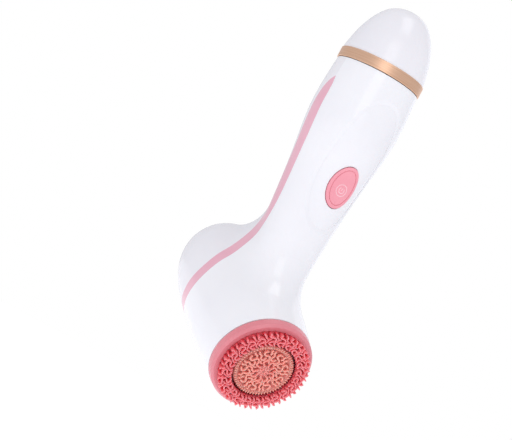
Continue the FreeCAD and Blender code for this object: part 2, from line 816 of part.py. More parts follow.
def gears():
    module = num("driveModule")
    fast = num("fastModule")
    small = int(num("smallTeeth"))
    smallAngle = meshAngle(int(num("ringTeeth")), 0, 90, small)
    idlerAngle = meshAngle(small, smallAngle, heading(SMALL, IDLER), int(num("idlerTeeth")))
    sunAngle = meshAngle(int(num("idlerTeeth")), idlerAngle, heading(IDLER, (0, 0)), int(num("sunTeeth")))
    motorAngle = meshAngle(int(num("wheelTeeth")), 0, -90, int(num("motorTeeth")))

    ring = gearBlank(module, int(num("ringTeeth")), num("ringFace"), 0)
    ring = ring.cut(Part.makeCylinder(num("spindleRadius"), THROUGH))
    feature("outer_drive_gear", ring, inHead(0, 0, num("ringAlong")))

    sun = gearBlank(module, int(num("sunTeeth")), num("sunFace"), sunAngle)
    sun = sun.cut(Part.makeCylinder(num("shaftRadius"), THROUGH))
    feature("inner_drive_gear", sun, inHead(0, 0, num("sunAlong")))

    idler = gearBlank(module, int(num("idlerTeeth")), num("sunFace"), idlerAngle)
    idler = idler.cut(Part.makeCylinder(num("pinRadius + bearingGap"), THROUGH))
    feature("idler_gear", idler, inHead(IDLER[0], IDLER[1], num("sunAlong")))

    wheel = gearBlank(fast, int(num("wheelTeeth")), num("wheelFace"), 0)
    reach = num("ringAlong + ringFace - wheelAlong - wheelFace")
    pinion = gearBlank(module, small, reach, smallAngle)
    pinion.translate(V(0, 0, num("wheelFace")))
    compound = wheel.fuse(pinion).cut(Part.makeCylinder(num("pinRadius + bearingGap"), THROUGH))
    feature("compound_gear", compound, inHead(SMALL[0], SMALL[1], num("wheelAlong")))

    motorGear = gearBlank(fast, int(num("motorTeeth")), num("wheelFace"), motorAngle)
    motorGear = motorGear.cut(Part.makeCylinder(num("motorShaft"), THROUGH))
    feature("motor_pinion", motorGear, inHead(MOTOR[0], MOTOR[1], num("wheelAlong")))


# ----------------------------------------------------------------- gearbox

def postPlaces():
    places = []
    for angle in (-30, -90, -150):
        turn = math.radians(angle)
        places.append((num("postCircle") * math.cos(turn), num("postCircle") * math.sin(turn)))
    return places


def gearbox():
    posts = [cylinder("postRadius", "noseAlong - boxAlong", inHead(x, y, num("boxAlong")))
             for x, y in postPlaces()]
    drum = cylinder("boxRadius", "boxFront - boxAlong", inHead(0, 0, num("boxAlong")))
    hollow = cylinder("boxBore", "boxFront - boxEnd - boxAlong", inHead(0, 0, num("boxAlong")))
    walls = fuse([cut(drum, [hollow])] + posts)
    holes = [cylinder("screwShank", "noseAlong - boxAlong", inHead(x, y, num("boxAlong")))
             for x, y in postPlaces()]
    holes.append(cylinder("bushRadius", "boxEnd", inHead(0, 0, num("boxFront - boxEnd"))))
    holes.append(cylinder("pinRadius", "pinSeat", inHead(SMALL[0], SMALL[1], num("boxFront - boxEnd"))))
    keep(cut(walls, holes), "gearbox_housing")

    plate = cylinder("boxBore - bearingGap", "plateThickness", inHead(0, 0, num("plateAlong")))
    openings = [cylinder("postRadius + bearingGap", "plateThickness", inHead(x, y, num("plateAlong")))
                for x, y in postPlaces()]
    openings.append(cylinder("smallTeeth * driveModule / 2 + pinionRoom", "plateThickness",
                             inHead(SMALL[0], SMALL[1], num("plateAlong"))))
    openings.append(cylinder("pinRadius", "plateThickness", inHead(IDLER[0], IDLER[1], num("plateAlong"))))
    openings.append(cylinder("shaftRadius + bearingGap", "plateThickness", inHead(0, 0, num("plateAlong"))))
    keep(cut(plate, openings), "gearbox_mid_plate")

    mount = cylinder("boxRadius", "boxAlong - mountAlong", inHead(0, 0, num("mountAlong")))
    openings = [cylinder("screwShank", "boxAlong - mountAlong", inHead(x, y, num("mountAlong")))
                for x, y in postPlaces()]
    openings.append(cylinder("motorBoss", "boxAlong - mountAlong",
                             inHead(MOTOR[0], MOTOR[1], num("mountAlong"))))
    openings.append(cylinder("pinRadius", "pinSeat", inHead(SMALL[0], SMALL[1], num("boxAlong - pinSeat"))))
    for x, y in motorScrewPlaces():
        openings.append(cylinder("screwShank", "boxAlong - mountAlong", inHead(x, y, num("mountAlong"))))
    keep(cut(mount, openings), "motor_mount")

    keep(cylinder("pinRadius", "boxFront - boxEnd - boxAlong + 2 * pinSeat",
                  inHead(SMALL[0], SMALL[1], num("boxAlong - pinSeat"))), "compound_pin")
    keep(cylinder("pinRadius", "sunAlong + sunFace - plateAlong + pinTip",
                  inHead(IDLER[0], IDLER[1], num("plateAlong"))), "idler_pin")


def motorScrewPlaces():
    return [(MOTOR[0] + side * num("screwOffset"), MOTOR[1]) for side in (-1, 1)]


def screw(length, head, placement):
    """Pan-head screw: its head ends at the placement, its shank runs along +Z."""
    shank = cylinder("screwShank", length, placement)
    top = placement.multiply(at(0, 0, -num(head)))
    return fuse([cylinder("screwHead", head, top), shank])


def screws():
    keep(group([screw("boxScrew", "headHeight", inHead(x, y, num("mountAlong"))) for x, y in postPlaces()]),
         "gearbox_screws")
    flip = FreeCAD.Placement(ORIGIN, FreeCAD.Rotation(V(1, 0, 0), 180))
    seat = num("noseFront - headHeight")
    nose = [screw("noseScrew", "headHeight", inHead(x, y, seat).multiply(flip)) for x, y in postPlaces()]
    keep(group(nose), "nose_screws")
    front = num("boxAlong")
    held = [screw("boxAlong - mountAlong + motorBite", "thinHead", inHead(x, y, front).multiply(flip))
            for x, y in motorScrewPlaces()]
    keep(group(held), "motor_screws")


def nosePlate():
    plate = cylinder("rimBore - bearingGap", "noseFront - noseAlong", inHead(0, 0, num("noseAlong")))
    hub = cylinder("noseHub", "noseFront - boxFront", inHead(0, 0, num("boxFront")))
    holes = [
        cylinder("sealRadius", "noseFront - boxFront - sealLip", inHead(0, 0, num("boxFront"))),
        cylinder("spindleRadius + runGap", "noseFront - boxFront", inHead(0, 0, num("boxFront"))),
    ]
    for x, y in postPlaces():
        holes.append(cylinder("screwShank", "noseFront - noseAlong", inHead(x, y, num("noseAlong"))))
        holes.append(cylinder("screwHead", "headHeight", inHead(x, y, num("noseFront - headHeight"))))
    keep(cut(fuse([plate, hub]), holes), "nose_plate")
    lathe("spindle_bush", [
        ("spindleRadius + bearingGap", "bushAlong"),
        ("bushRadius", "bushAlong"),
        ("bushRadius", "bushFront"),
        ("spindleRadius + bearingGap", "bushFront"),
    ], HEAD)
    lathe("shaft_seal", [
        ("spindleRadius + bearingGap", "sealAlong"),
        ("sealRadius", "sealAlong"),
        ("sealRadius", "noseFront - sealLip"),
        ("spindleRadius + bearingGap", "noseFront - sealLip"),
    ], HEAD)


# ---------------------------------------------------------------- spindles

def spindles():
    back = num("ringAlong")
    tube = cylinder("spindleRadius", "ringBack - ringAlong", inHead(0, 0, back))
    collar = cylinder("spindleCollar", "spindleCollarLength",
                      inHead(0, 0, num("ringAlong + ringFace + 2 * bearingGap")))
    hexEnd = hexagon("spindleRadius", "spindleFront - ringBack", inHead(0, 0, num("ringBack")))
    bore = cylinder("spindleBore", "spindleFront - ringAlong", inHead(0, 0, back))
    keep(cut(fuse([tube, collar, hexEnd]), [bore]), "outer_spindle")
    for label, place in (("shaft_bush_rear", "ringAlong"), ("shaft_bush_front", "spindleFront - shaftBush")):
        lathe(label, [
            ("shaftRadius + bearingGap", place),
            ("spindleBore", place),
            ("spindleBore", place + " + shaftBush"),
            ("shaftRadius + bearingGap", place + " + shaftBush"),
        ], HEAD)
    rod = cylinder("shaftRadius", "discBack - shaftBack", inHead(0, 0, num("shaftBack")))
    key = hexagon("shaftRadius", "shaftFront - discBack", inHead(0, 0, num("discBack")))
    keep(fuse([rod, key]), "inner_shaft")


def motor():
    x, y = MOTOR
    front = num("mountAlong")
    long = num("motorLength")
    drum = cylinder("motorRadius", "motorLength", inHead(x, y, front - long))
    flats = box("2 * motorRadius", "motorFlats", "motorLength",
                inHead(x - num("motorRadius"), y - num("motorFlats") / 2, front - long))
    boss = cylinder("motorBoss", "bossHeight", inHead(x, y, front))
    holes = [cylinder("motorShaft + 2 * bearingGap", "motorLength + bossHeight", inHead(x, y, front - long))]
    for sx, sy in motorScrewPlaces():
        holes.append(cylinder("screwShank", "screwDepth", inHead(sx, sy, front - num("screwDepth"))))
    keep(cut(fuse([common(drum, flats), boss]), holes), "motor_can")

    back = front - long - num("bellLength")
    drum = cylinder("motorRadius", "bellLength", inHead(x, y, back))
    flats = box("2 * motorRadius", "motorFlats", "bellLength",
                inHead(x - num("motorRadius"), y - num("motorFlats") / 2, back))
    well = cylinder("motorShaft + 2 * bearingGap", "bellLength - bellFloor",
                    inHead(x, y, back + num("bellFloor")))
    keep(cut(common(drum, flats), [well]), "motor_end_bell")
    tabs = []
    for side in (-1, 1):
        left = x + num("tabSpacing") / 2 * side - num("tabWidth") / 2
        place = inHead(left, num("tabLevel"), back - num("tabReach"))
        tabs.append(box("tabWidth", "tabDepth", "tabReach", place))
    keep(group(tabs), "motor_terminals")
    keep(cylinder("motorShaft", "wheelAlong + wheelFace + shaftTip - mountAlong + motorLength + shaftTail",
                  inHead(x, y, front - long - num("shaftTail"))), "motor_shaft")


# -------------------------------------------------------------- brush head

def brushHead():
    ring = lathe("brush_ring_blank", [
        ("ringBoreBlank", "ringBack"),
        ("rimRadius - bandCorner", "ringBack"),
        ("rimRadius", "ringBack + bandCorner"),
        ("bandMiddle", "bandFront - bandTurn"),
        ("bandRadius", "bandFront - bandCorner"),
        ("bandRadius - bandCorner", "bandFront"),
        ("lipRadius", "bandFront"),
        ("lipRadius", "ringFloor"),
        ("ringInner", "ringFloor"),
        ("ringInner", "ringBack + ringPlate"),
        ("hubRadius", "ringBack + ringPlate"),
        ("hubRadius", "hubFront"),
        ("ringBoreBlank", "hubFront"),
    ], HEAD)
    subParts.remove(ring)
    socket = hexagon("spindleRadius + 2 * bearingGap", "hubFront - ringBack", inHead(0, 0, num("ringBack")))
    keep(cut(ring, [socket]), "brush_ring_base")
    lathe("brush_ring_bristles", [
        ("ringInner + bristleGap", "ringFloor"),
        ("lipRadius", "ringFloor"),
        ("lipRadius", "bandFront"),
        ("outerRadius", "bandFront"),
        ("outerRadius", "outerTip"),
        ("ringInner + bristleGap", "outerTip"),
    ], HEAD)

    disc = lathe("brush_disc_blank", [
        ("0", "discBack"),
        ("discRadius - skirtWall", "discBack"),
        ("discRadius - skirtWall", "discSkirt"),
        ("discRadius", "discSkirt"),
        ("discRadius", "discBack + discPlate"),
        ("nubOutside", "discBack + discPlate"),
        ("nubOutside", "shaftFront + nubRoof"),
        ("0", "shaftFront + nubRoof"),
    ], HEAD)
    subParts.remove(disc)
    keyway = hexagon("shaftRadius + bearingGap", "shaftFront + 4 * bearingGap - discBack",
                     inHead(0, 0, num("discBack")))
    keep(cut(disc, [keyway]), "brush_disc_base")
    lathe("brush_disc_bristles", [
        ("nubOutside", "discBack + discPlate"),
        ("discRadius - 2 * bristleGap", "discBack + discPlate"),
        ("discRadius - 2 * bristleGap", "innerTip"),
        ("0", "innerTip"),
        ("0", "shaftFront + nubRoof"),
        ("nubOutside", "shaftFront + nubRoof"),
    ], HEAD)


casing()
endCap()
collarAndPlug()
batteryBay()
batteries()
batterySpring()
board()
button()
leads()
gears()
gearbox()
screws()
nosePlate()
spindles()
motor()
brushHead()

doc.recompute()
for item in doc.Objects:
    if "Invalid" in item.State or "Error" in item.State:
        raise RuntimeError("%s failed: %s" % (item.Label, item.State))
for item in subParts:
    if item.Shape.isNull() or not item.Shape.isValid():
        raise RuntimeError("%s has no valid shape" % item.Label)

os.makedirs("parts", exist_ok=True)
for item in subParts:
    item.Shape.exportStep("parts/%s.step" % item.Label)
print("%d sub-parts" % len(subParts))
for item in subParts:
    print("%-22s %10.1f mm3  %d solid(s)" % (item.Label, item.Shape.Volume, len(item.Shape.Solids)))
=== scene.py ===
import json
import math
import bpy
import bmesh
from mathutils import Matrix, Vector
from mathutils.bvhtree import BVHTree


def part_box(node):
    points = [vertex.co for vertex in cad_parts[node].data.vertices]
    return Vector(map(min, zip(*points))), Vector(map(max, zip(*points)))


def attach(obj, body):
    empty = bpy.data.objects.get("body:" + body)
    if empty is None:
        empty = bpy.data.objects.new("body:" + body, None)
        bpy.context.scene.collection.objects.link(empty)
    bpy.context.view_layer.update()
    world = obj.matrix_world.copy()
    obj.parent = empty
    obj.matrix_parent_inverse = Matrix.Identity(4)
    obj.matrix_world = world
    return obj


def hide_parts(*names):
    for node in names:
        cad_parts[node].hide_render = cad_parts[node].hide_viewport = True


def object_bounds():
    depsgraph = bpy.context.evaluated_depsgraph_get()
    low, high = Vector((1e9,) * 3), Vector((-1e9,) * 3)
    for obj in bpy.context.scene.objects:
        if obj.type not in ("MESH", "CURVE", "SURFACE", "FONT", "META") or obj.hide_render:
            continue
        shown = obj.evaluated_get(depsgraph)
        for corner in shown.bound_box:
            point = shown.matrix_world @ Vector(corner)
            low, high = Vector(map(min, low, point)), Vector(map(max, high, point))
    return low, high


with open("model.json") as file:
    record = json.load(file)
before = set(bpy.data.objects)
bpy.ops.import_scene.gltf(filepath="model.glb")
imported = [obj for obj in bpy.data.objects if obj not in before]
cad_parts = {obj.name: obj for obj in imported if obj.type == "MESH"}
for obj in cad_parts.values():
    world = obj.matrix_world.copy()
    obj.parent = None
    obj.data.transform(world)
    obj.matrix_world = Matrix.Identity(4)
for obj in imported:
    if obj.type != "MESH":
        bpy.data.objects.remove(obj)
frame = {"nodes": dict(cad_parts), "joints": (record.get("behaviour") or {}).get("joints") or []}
cadBox = [list(corner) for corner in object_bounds()]
nodes = frame["nodes"]
mm = 0.001
print("frame loaded:", len(nodes), "nodes")

# The head's own frame: its origin is on the handle's axis and its z comes out of the brush face.
headSpin = next(joint for joint in frame["joints"] if joint["name"] == "outer_spin")
headOut = Vector(headSpin["axis"]).normalized()
headAcross = Vector((1, 0, 0))
headUp = headOut.cross(headAcross)
headTurn = Matrix((headAcross, headUp, headOut)).transposed().to_4x4()
headPlace = Matrix.Translation(Vector(headSpin["pos_m"])) @ headTurn


def inHead(node):
    # a CAD node's vertices seen from the head's own frame
    back = headPlace.inverted()
    return [back @ vertex.co for vertex in nodes[node].data.vertices]


def alongHead(node):
    # lowest and highest reach of a CAD node along the head's axis, in metres
    reach = [point.z for point in inHead(node)]
    return min(reach), max(reach)


def aroundHead(node):
    # largest radius of a CAD node about the head's axis, in metres
    return max(point.xy.length for point in inHead(node))


def linear(hexColour):
    # sRGB hex to linear light
    parts = [int(hexColour[i:i + 2], 16) / 255 for i in (0, 2, 4)]
    return [c / 12.92 if c <= 0.04045 else ((c + 0.055) / 1.055) ** 2.4 for c in parts] + [1.0]


def addNode(tree, kind, settings=None, inputs=None, stops=None):
    # adds one node, sets its settings, then its inputs: a value, or a (node, output) pair to link;
    # a colour ramp also takes its stops, from low to high
    node = tree.nodes.new(kind)
    for name, value in (settings or {}).items():
        setattr(node, name, value)
    for name, value in (inputs or {}).items():
        if isinstance(value, tuple) and hasattr(value[0], "outputs"):
            tree.links.new(value[0].outputs[value[1]], node.inputs[name])
        else:
            node.inputs[name].default_value = value
    if stops:
        for place, colour in stops[1:-1]:
            node.color_ramp.elements.new(place)
        for element, (place, colour) in zip(node.color_ramp.elements, stops):
            element.position = place
            element.color = linear(colour)
    return node


def newMaterial(name):
    material = bpy.data.materials.new(name)
    material.use_nodes = True
    tree = material.node_tree
    tree.nodes.clear()
    output = addNode(tree, "ShaderNodeOutputMaterial")
    shader = addNode(tree, "ShaderNodeBsdfPrincipled")
    tree.links.new(shader.outputs["BSDF"], output.inputs["Surface"])
    coords = addNode(tree, "ShaderNodeTexCoord")
    return material, tree, shader, coords


plastic = {
    "ior": 1.5,
    "coatRoughness": 0.06,
    "scatterColour": (1.0, 0.7, 0.6),  # red goes deepest
    "scatterDepth": 1.2,               # millimetres
    "rippleDepth": 0.02,                 # of the ripple
}


def mouldedPlastic(name, look):
    # injection-moulded plastic: even colour with a faint cloudiness, and the soft ripple that
    # a polished or sparked tool leaves, about a millimetre across
    material, tree, shader, coords = newMaterial(name)
    cloud = addNode(tree, "ShaderNodeTexNoise", None,
                    {"Vector": (coords, "Object"), "Scale": 1 / (look["cloudSize"] * mm), "Detail": 3.0})
    tone = addNode(tree, "ShaderNodeValToRGB", None, {"Fac": (cloud, "Fac")},
                   [(0.3, look["dark"]), (0.7, look["light"])])
    tree.links.new(tone.outputs["Color"], shader.inputs["Base Color"])
    ripple = addNode(tree, "ShaderNodeTexNoise", None,
                     {"Vector": (coords, "Object"), "Scale": 1 / (look["rippleSize"] * mm),
                      "Detail": 2.0})
    rough = look["roughness"]
    gloss = addNode(tree, "ShaderNodeMapRange", None,
                    {"Value": (ripple, "Fac"), "To Min": rough * 0.85, "To Max": rough * 1.2})
    tree.links.new(gloss.outputs["Result"], shader.inputs["Roughness"])
    bump = addNode(tree, "ShaderNodeBump", None,
                   {"Height": (ripple, "Fac"), "Strength": look["ripple"],
                    "Distance": plastic["rippleDepth"] * mm})
    tree.links.new(bump.outputs["Normal"], shader.inputs["Normal"])
    shader.inputs["IOR"].default_value = plastic["ior"]
    shader.inputs["Coat Weight"].default_value = look.get("coat", 0.0)
    shader.inputs["Coat Roughness"].default_value = plastic["coatRoughness"]
    if look.get("scatter"):
        shader.inputs["Subsurface Weight"].default_value = look["scatter"]
        shader.inputs["Subsurface Radius"].default_value = plastic["scatterColour"]
        shader.inputs["Subsurface Scale"].default_value = plastic["scatterDepth"] * mm
    return material


def metal(name, look):
    # ground or drawn metal: fine lines around Z about a tenth of a millimetre apart, which draw the
    # highlight out along the ring, or an even satin grain where stretch is the same all ways
    material, tree, shader, coords = newMaterial(name)
    stretch = addNode(tree, "ShaderNodeMapping", None,
                      {"Vector": (coords, "Object"), "Scale": look.get("stretch", (60, 60, 9000))})
    lines = addNode(tree, "ShaderNodeTexNoise", None,
                    {"Vector": (stretch, "Vector"), "Scale": 1.0, "Detail": 4.0})
    tone = addNode(tree, "ShaderNodeValToRGB", None, {"Fac": (lines, "Fac")},
                   [(0.3, look["dark"]), (0.7, look["light"])])
    tree.links.new(tone.outputs["Color"], shader.inputs["Base Color"])
    rough = look["roughness"]
    gloss = addNode(tree, "ShaderNodeMapRange", None,
                    {"Value": (lines, "Fac"), "To Min": rough * 0.8, "To Max": rough * 1.25})
    tree.links.new(gloss.outputs["Result"], shader.inputs["Roughness"])
    bump = addNode(tree, "ShaderNodeBump", None,
                   {"Height": (lines, "Fac"), "Strength": 0.25, "Distance": 0.01 * mm})
    tree.links.new(bump.outputs["Normal"], shader.inputs["Normal"])
    shader.inputs["Metallic"].default_value = 1.0
    shader.inputs["Anisotropic"].default_value = look.get("anisotropy", 0.0)
    if look.get("anisotropy"):
        turn = addNode(tree, "ShaderNodeTangent", {"direction_type": "RADIAL", "axis": "Z"})
        tree.links.new(turn.outputs["Tangent"], shader.inputs["Tangent"])
    return material


rubber = {
    "ior": 1.41,
    "roughness": 0.4,
    "cloudSize": 2.5,                    # millimetres
    "scatterColour": (1.0, 0.35, 0.3),   # light that has been inside comes out red
    "scatterDepth": 1.6,                 # millimetres
}


def silicone(name, look):
    # soft moulded silicone: light soaks into it, and on top of that the colour is painted by how far up
    # its fin each point is: deep painted shade low in the gaps, a pale painted highlight on the thin
    # crests
    material, tree, shader, coords = newMaterial(name)
    height = addNode(tree, "ShaderNodeAttribute", {"attribute_name": "rise"})
    # the rise up the fin picks the colour: painted shade at the foot, painted highlight at the crest
    tone = addNode(tree, "ShaderNodeValToRGB", None, {"Fac": (height, "Fac")},
                   [(0.0, look["root"]), (0.6, look["middle"]), (1.0, look["tip"])])
    reach = addNode(tree, "ShaderNodeAttribute", {"attribute_name": "reach"})
    centre = addNode(tree, "ShaderNodeMapRange", None,
                     {"Value": (reach, "Fac"), "From Min": 0.15, "From Max": 0.6,
                       "To Min": look["blush"],
                      "To Max": 0.0})
    blush = addNode(tree, "ShaderNodeMix", {"data_type": "RGBA", "blend_type": "MIX"})
    tree.links.new(centre.outputs["Result"], blush.inputs[0])
    tree.links.new(tone.outputs["Color"], blush.inputs[6])
    blush.inputs[7].default_value = linear(look["blushColour"])
    cloud = addNode(tree, "ShaderNodeTexNoise", None,
                    {"Vector": (coords, "Object"), "Scale": 1 / (rubber["cloudSize"] * mm),
                     "Detail": 2.0})
    shade = addNode(tree, "ShaderNodeMapRange", None,
                    {"Value": (cloud, "Fac"), "To Min": 0.92, "To Max": 1.08})
    mixed = addNode(tree, "ShaderNodeMix", {"data_type": "RGBA", "blend_type": "MULTIPLY"})
    mixed.inputs[0].default_value = 1.0
    tree.links.new(blush.outputs[2], mixed.inputs[6])
    tree.links.new(shade.outputs["Result"], mixed.inputs[7])
    tree.links.new(mixed.outputs[2], shader.inputs["Base Color"])
    shader.inputs["Roughness"].default_value = rubber["roughness"]
    shader.inputs["IOR"].default_value = rubber["ior"]
    shader.inputs["Subsurface Weight"].default_value = look["scatter"]
    shader.inputs["Subsurface Radius"].default_value = rubber["scatterColour"]
    shader.inputs["Subsurface Scale"].default_value = rubber["scatterDepth"] * mm
    return material


# Sizes in these are millimetres: cloudSize of the faint change of tone, rippleSize of the surface.
materials = {
    # mirror-like but soft: broad clear highlights on a cool white
    "shellWhite": mouldedPlastic("polished white ABS", {
        "light": "F3F3F6", "dark": "EFEFF3", "roughness": 0.16, "cloudSize": 30, "rippleSize": 3.5,
        "ripple": 0.08, "coat": 0.15, "scatter": 0.05}),
    # a shade greyer, so the seam between the shells still reads where the strip ends
    "shellGrey": mouldedPlastic("polished pale grey ABS", {
        "light": "EEEDF1", "dark": "E9E8ED", "roughness": 0.2, "cloudSize": 30, "rippleSize": 3.5,
        "ripple": 0.08, "coat": 0.1, "scatter": 0.05}),
    # dusty pink, as glossy as the shells beside it
    "accentPink": mouldedPlastic("polished pink ABS", {
        "light": "EBB5C4", "dark": "E6ABBC", "roughness": 0.22, "cloudSize": 20, "rippleSize": 3,
        "ripple": 0.10, "coat": 0.2}),
    # warmer and duller than the strip, with a fine spark texture for the finger
    "buttonPink": mouldedPlastic("satin pink polycarbonate", {
        "light": "F7A5B1", "dark": "F29BA9", "roughness": 0.34, "cloudSize": 10, "rippleSize": 0.5,
        "ripple": 0.18}),
    # a paler line that stands a hair above the button
    "markPink": mouldedPlastic("pale pink pad-printing ink", {
        "light": "FFDCE1", "dark": "FCD0D7", "roughness": 0.4, "cloudSize": 5, "rippleSize": 0.4,
        "ripple": 0.1}),
    # slightly waxy, with wide weak highlights round the band
    "bandPink": mouldedPlastic("satin salmon polypropylene", {
        "light": "E48C95", "dark": "DC818B", "roughness": 0.34, "cloudSize": 14, "rippleSize": 0.6,
        "ripple": 0.15, "scatter": 0.1}),
    # brushed round the ring, so the highlight runs along it in a warm streak
    "roseGold": metal("brushed rose-gold anodised aluminium", {
        "light": "F3CDB2", "dark": "DAAB89", "roughness": 0.3, "anisotropy": 0.75}),
    # deep red painted shade between the fins, pink painted highlight at their thin crests
    "outerSilicone": silicone("coral-red silicone", {
        "root": "D02338", "middle": "E5535E", "tip": "F2898F", "scatter": 0.6, "blush": 0.0,
        "blushColour": "E8606C"}),
    # peach, blushing pink towards the middle of the disc; painted shade darkens it between the fins and
    # a painted highlight makes it paler at their crests
    "innerSilicone": silicone("peach silicone", {
        "root": "CB6A63", "middle": "EB9186", "tip": "F2A597", "scatter": 0.6, "blush": 0.6,
        "blushColour": "F0827F"}),
    # dull black, no clear reflection
    "blackRubber": mouldedPlastic("black nitrile rubber", {
        "light": "242426", "dark": "1A1A1C", "roughness": 0.6, "cloudSize": 6, "rippleSize": 0.4,
        "ripple": 0.3}),
    # plain inner parts with an even matt grain
    "frameAbs": mouldedPlastic("textured light grey ABS", {
        "light": "D4D5D8", "dark": "C9CACE", "roughness": 0.45, "cloudSize": 12, "rippleSize": 0.5,
        "ripple": 0.3}),
    # milky cream with a low sheen, as gears are
    "acetal": mouldedPlastic("natural acetal", {
        "light": "EFEBDD", "dark": "E6E1D0", "roughness": 0.35, "cloudSize": 8, "rippleSize": 0.5,
        "ripple": 0.15}),
    # green lacquer that pools unevenly over the copper
    "boardGreen": mouldedPlastic("green solder mask", {
        "light": "1F7A45", "dark": "176338", "roughness": 0.3, "cloudSize": 5, "rippleSize": 0.6,
        "ripple": 0.3}),
    # chalky black
    "blackMoulding": mouldedPlastic("black epoxy moulding", {
        "light": "232427", "dark": "18191B", "roughness": 0.5, "cloudSize": 4, "rippleSize": 0.3,
        "ripple": 0.3}),
    # shrunk plastic film, smooth and shiny over the cell
    "cellSleeve": mouldedPlastic("glossy grey battery sleeve", {
        "light": "555A63", "dark": "43474F", "roughness": 0.22, "cloudSize": 9, "rippleSize": 1,
        "ripple": 0.1}),
    # bright red with a soft sheen
    "redPvc": mouldedPlastic("red PVC insulation", {
        "light": "B8232B", "dark": "A01B23", "roughness": 0.4, "cloudSize": 4, "rippleSize": 0.5,
        "ripple": 0.2}),
    # off-white and slightly cloudy
    "whiteNylon": mouldedPlastic("white nylon", {
        "light": "E6E5DF", "dark": "DBDAD3", "roughness": 0.42, "cloudSize": 6, "rippleSize": 0.5,
        "ripple": 0.2}),
    # clean grey with grinding lines
    "groundSteel": metal("ground steel", {"light": "B9BABD", "dark": "9A9B9F", "roughness": 0.22}),
    # bluish bright screws with a fine crystal grain
    "zincSteel": metal("zinc-plated steel", {
        "light": "C9CBD0", "dark": "AEB1B8", "roughness": 0.3, "stretch": (900, 900, 900)}),
    # dark porous brown-gold
    "sinteredBronze": metal("oiled sintered bronze", {
        "light": "A57C47", "dark": "86602F", "roughness": 0.45, "stretch": (2500, 2500, 2500)}),
    # warm silver spring and contacts
    "nickelPlate": metal("nickel-plated spring steel", {
        "light": "CFCBC0", "dark": "B5B0A4", "roughness": 0.25, "stretch": (1200, 1200, 1200)}),
    # faint drawing lines up the can
    "drawnSteel": metal("drawn and plated steel can", {
        "light": "C2C4C8", "dark": "A6A8AD", "roughness": 0.28}),
}

finishes = {
    "shellWhite": ["front_shell"],
    "shellGrey": ["rear_shell", "end_cap"],
    "accentPink": ["accent_strip_left", "accent_strip_right"],
    "buttonPink": ["button"],
    "bandPink": ["brush_ring_base"],
    "innerSilicone": ["brush_disc_base"],
    "roseGold": ["collar_ring"],
    "blackRubber": ["shaft_seal", "cap_seal"],
    "frameAbs": ["nose_plate", "gearbox_housing", "motor_mount", "battery_frame", "cap_spigot"],
    "acetal": ["gearbox_mid_plate", "outer_spindle", "outer_drive_gear", "inner_drive_gear",
               "compound_gear",
               "idler_gear", "motor_pinion"],
    "groundSteel": ["compound_pin", "idler_pin", "inner_shaft", "motor_shaft"],
    "zincSteel": ["nose_screws", "gearbox_screws", "motor_screws"],
    "sinteredBronze": ["spindle_bush", "shaft_bush_rear", "shaft_bush_front"],
    "nickelPlate": ["battery_spring", "battery_contact", "motor_terminals", "cap_contact"],
    "boardGreen": ["circuit_board"],
    "blackMoulding": ["board_components", "tact_switch", "switch_plunger"],
    "cellSleeve": ["battery_cell_1", "battery_cell_2"],
    "redPvc": ["motor_leads"],
    "drawnSteel": ["motor_can"],
    "whiteNylon": ["motor_end_bell"],
}
for finish, members in finishes.items():
    for node in members:
        nodes[node].data.materials.clear()
        nodes[node].data.materials.append(materials[finish])
left = sorted(set(nodes) - set(node for members in finishes.values() for node in members))
print("materials set; CAD nodes still to be replaced:", left)


def smoothPath(points, steps):
    # Catmull-Rom curve through the points
    ends = [points[0] * 2 - points[1]] + points + [points[-1] * 2 - points[-2]]
    out = []
    for a, b, c, d in zip(ends, ends[1:], ends[2:], ends[3:]):
        for i in range(steps):
            t = i / steps
            out.append(0.5 * (2 * b + (c - a) * t + (2 * a - 5 * b + 4 * c - d) * t * t
                              + (3 * b - a - 3 * c + d) * t ** 3))
    out.append(points[-1])
    return out


def layer(bm, name):
    return bm.verts.layers.float.get(name) or bm.verts.layers.float.new(name)


def finMesh(bm, path, look):
    # A soft upright fin on a path in the x-y plane: thick at its foot, with a rounded crest and ends.
    # Lengths in millimetres. Each vertex keeps how far up the fin it is, which the material turns into
    # painted shade low down and a painted highlight at the crest.
    rise = layer(bm, "rise")
    reach = layer(bm, "reach")
    foot, crest, height = look["foot"] / 2, look["crest"] / 2, look["height"]
    section = [(-foot, 0.0), (-(foot + crest) / 2, 0.5), (-crest, 0.86),
               (-crest * 0.62, 0.97), (0.0, 1.0),
               (crest * 0.62, 0.97), (crest, 0.86), ((foot + crest) / 2, 0.5), (foot, 0.0)]
    count = len(path)
    rings = []
    for i, point in enumerate(path):
        ahead = path[min(i + 1, count - 1)] - path[max(i - 1, 0)]
        ahead.normalize()
        side = Vector((-ahead.y, ahead.x))
        stations = [(0.0, 1.0)]
        if i == 0:
            stations = [(-0.9, 0.35), (-0.6, 0.8), (0.0, 1.0)]
        if i == count - 1:
            stations = [(0.0, 1.0), (0.6, 0.8), (0.9, 0.35)]
        share = i / (count - 1)
        tall = height * (1 + look.get("slope", 0.0) * (share - 0.5))
        still = look.get("leanFrom", 0.0)
        lean = look.get("lean", 0.0) * (point.length - still) / (look["full"] - still)
        outward = point.normalized() if point.length > 1e-6 else Vector((0, 0))
        for forward, narrow in stations:
            ring = []
            for across, up in section:
                where = point + side * (across * narrow) + ahead * (forward * crest)
                where += outward * (lean * up)
                heightHere = tall * up * (0.94 + 0.06 * narrow)
                vertex = bm.verts.new((where.x * mm, where.y * mm, heightHere * mm))
                vertex[rise] = up
                vertex[reach] = point.length / look["full"]
                ring.append(vertex)
            rings.append(ring)
    for a, b in zip(rings, rings[1:]):
        for j in range(len(section)):
            k = (j + 1) % len(section)
            bm.faces.new((a[j], a[k], b[k], b[j]))
    bm.faces.new(rings[0])
    bm.faces.new(list(reversed(rings[-1])))


